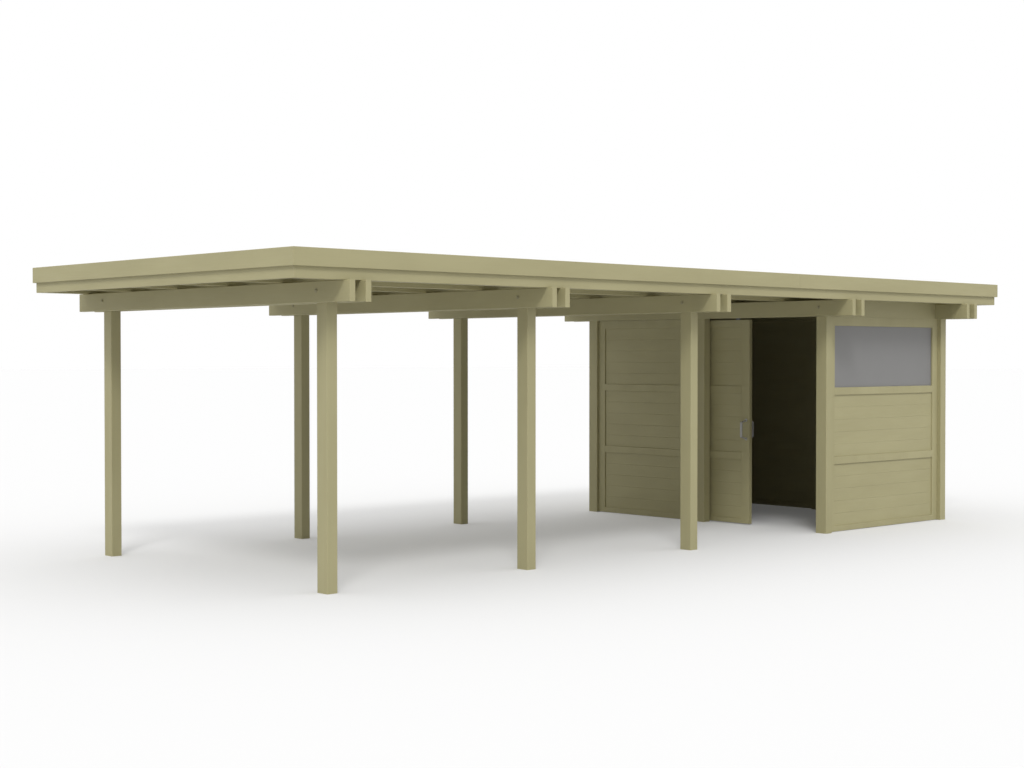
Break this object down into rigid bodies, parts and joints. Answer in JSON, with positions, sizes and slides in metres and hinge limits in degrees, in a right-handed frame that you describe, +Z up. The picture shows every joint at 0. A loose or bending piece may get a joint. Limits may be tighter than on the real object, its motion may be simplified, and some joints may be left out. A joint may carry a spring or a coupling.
{
  "type": "carport with storage room",
  "caption": "Flat-roofed open timber carport on timber posts with twin-plank beams, a two-step fascia and a panelled storage room with window and sliding door.",
  "frame": {"origin": "centre of the plan at ground level, under the middle of the roof", "axes": "+X along the length towards the storage room, +Y from the window side to the back, +Z up"},
  "size_m": [9.933, 4.251, 2.711],
  "materials": {
    "painted_timber": "opaque olive beige paint on planed timber, satin to matt",
    "painted_boards": "opaque olive beige paint on tongue and groove boards",
    "roof_sheet": "matt dark grey roofing membrane",
    "frosted_glass": "frosted grey safety glass",
    "galvanised_steel": "galvanised, matt",
    "handle_metal": "satin aluminium"
  },
  "bodies": {
    "carport": {"front_post_1": "painted_timber", "front_post_2": "painted_timber", "front_post_3": "painted_timber", "front_post_4": "painted_timber", "front_post_5": "painted_timber", "back_post_1": "painted_timber", "back_post_2": "painted_timber", "back_post_3": "painted_timber", "back_post_4": "painted_timber", "back_post_5": "painted_timber", "door_post": "painted_timber", "end_wall_post": "painted_timber", "twin_planks_1": "painted_timber", "twin_planks_2": "painted_timber", "twin_planks_3": "painted_timber", "twin_planks_4": "painted_timber", "twin_planks_5": "painted_timber", "purlins": "painted_timber", "roof_deck": "painted_timber", "roof_membrane": "roof_sheet", "rim_front": "painted_timber", "rim_back": "painted_timber", "rim_left": "painted_timber", "rim_right": "painted_timber", "fascia_front_long": "painted_timber", "fascia_front_short": "painted_timber", "fascia_back_long": "painted_timber", "fascia_back_short": "painted_timber", "fascia_left": "painted_timber", "fascia_right": "painted_timber", "front_wall_frame": "painted_timber", "left_wall_frame": "painted_timber", "back_wall_frame": "painted_timber", "right_wall_frame": "painted_timber", "wall_headers": "painted_timber", "front_wall_boards": "painted_boards", "left_wall_boards": "painted_boards", "back_wall_boards": "painted_boards", "right_wall_boards": "painted_boards", "window_pane": "frosted_glass", "door_track": "galvanised_steel"},
    "sliding_door": {"door_leaf": "painted_timber", "door_boards": "painted_boards", "door_handle_outside": "handle_metal", "door_handle_inside": "handle_metal", "door_hangers": "galvanised_steel"}
  },
  "joints": [
    {"name": "door_slide", "type": "slide", "parent": "carport", "child": "sliding_door", "axis": [0, 1, 0], "range_m": [-1.01, 0.486]}
  ]
}
